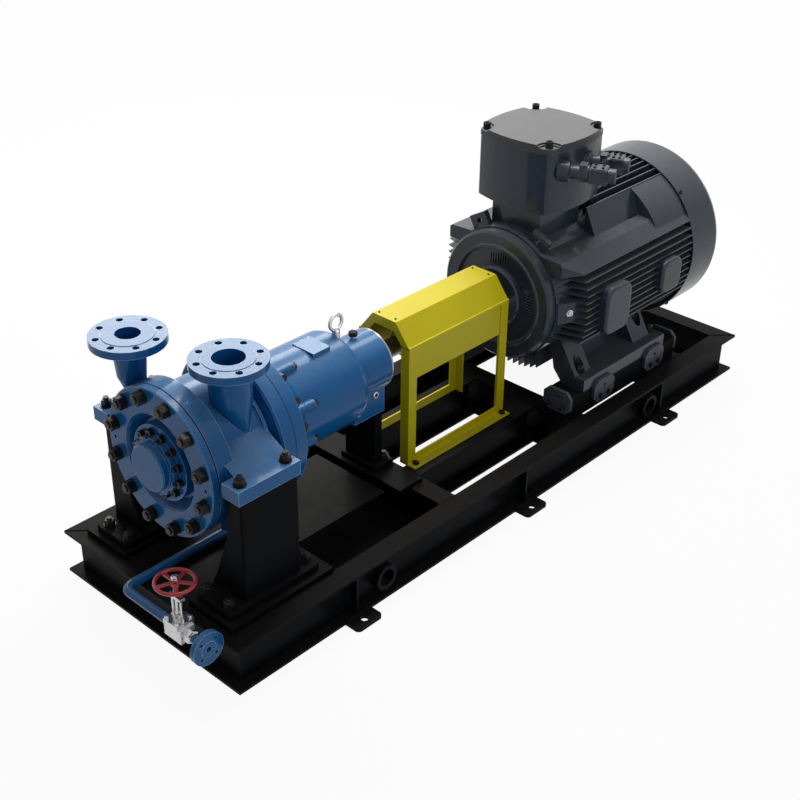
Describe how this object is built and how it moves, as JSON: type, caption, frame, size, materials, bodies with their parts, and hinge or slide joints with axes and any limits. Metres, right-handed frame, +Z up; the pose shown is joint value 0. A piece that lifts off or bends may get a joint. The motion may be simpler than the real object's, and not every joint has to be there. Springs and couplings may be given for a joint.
{
  "type": "magnetic drive pump",
  "caption": "Horizontal magnetic drive process pump with upward nozzles, coupling guard and finned electric motor on a welded I-beam skid.",
  "frame": {"origin": "midway between the middle pair of anchor holes, on the skid's underside", "axes": "+X along the shaft from the pump to the motor, +Z up, drain valve and near nozzle towards -Y"},
  "size_m": [2.805, 0.961, 1.17],
  "materials": {
    "pump_blue": "semi-gloss paint",
    "guard_yellow": "semi-gloss paint",
    "motor_grey": "semi-gloss paint",
    "dark_fasteners": "dark oxide",
    "stainless": "brushed",
    "handwheel_red": "semi-gloss paint",
    "plate_grey": "semi-gloss paint",
    "shaft_steel": "machined",
    "skid_black": "satin paint"
  },
  "bodies": {
    "skid": {"bearer_far": "skid_black", "bearer_near": "skid_black", "bearing_cap": "pump_blue", "cable_gland_1": "motor_grey", "cable_gland_2": "motor_grey", "casing": "pump_blue", "cover_nuts": "dark_fasteners", "cross_beam_motor": "skid_black", "cross_beam_pump": "skid_black", "cross_beam_rear": "skid_black", "deck_plate": "skid_black", "drain_flange": "pump_blue", "drain_pipe": "pump_blue", "drain_valve": "stainless", "drive_housing": "pump_blue", "drive_shield": "motor_grey", "end_beam_motor": "skid_black", "end_beam_pump": "skid_black", "fan_cowl": "motor_grey", "floor_plate": "skid_black", "front_cover": "pump_blue", "guard_hood": "guard_yellow", "guard_side_far": "guard_yellow", "guard_side_near": "guard_yellow", "housing_pad": "pump_blue", "inner_beam_far": "skid_black", "inner_beam_near": "skid_black", "jacking_plates": "plate_grey", "lifting_eye": "stainless", "motor_frame": "motor_grey", "pedestal_far": "skid_black", "pedestal_near": "skid_black", "rear_support": "skid_black", "side_beam_far": "skid_black", "side_beam_near": "skid_black", "support_plate": "skid_black", "terminal_box": "motor_grey", "terminal_lid": "motor_grey", "terminal_neck": "motor_grey"},
    "rotor": {"coupling_hub_motor": "shaft_steel", "coupling_hub_pump": "shaft_steel", "coupling_spacer": "shaft_steel", "motor_shaft": "shaft_steel", "pump_shaft": "shaft_steel"},
    "handwheel": {"handwheel": "handwheel_red"}
  },
  "joints": [
    {"name": "shaft_turn", "type": "hinge", "parent": "skid", "child": "rotor", "pos_m": [-0.304, 0, 0.57], "axis": [1, 0, 0], "continuous": true},
    {"name": "handwheel_turn", "type": "hinge", "parent": "skid", "child": "handwheel", "pos_m": [-1.38, -0.235, 0.348], "axis": [0, 0, 1], "range_deg": [0, 720]}
  ]
}
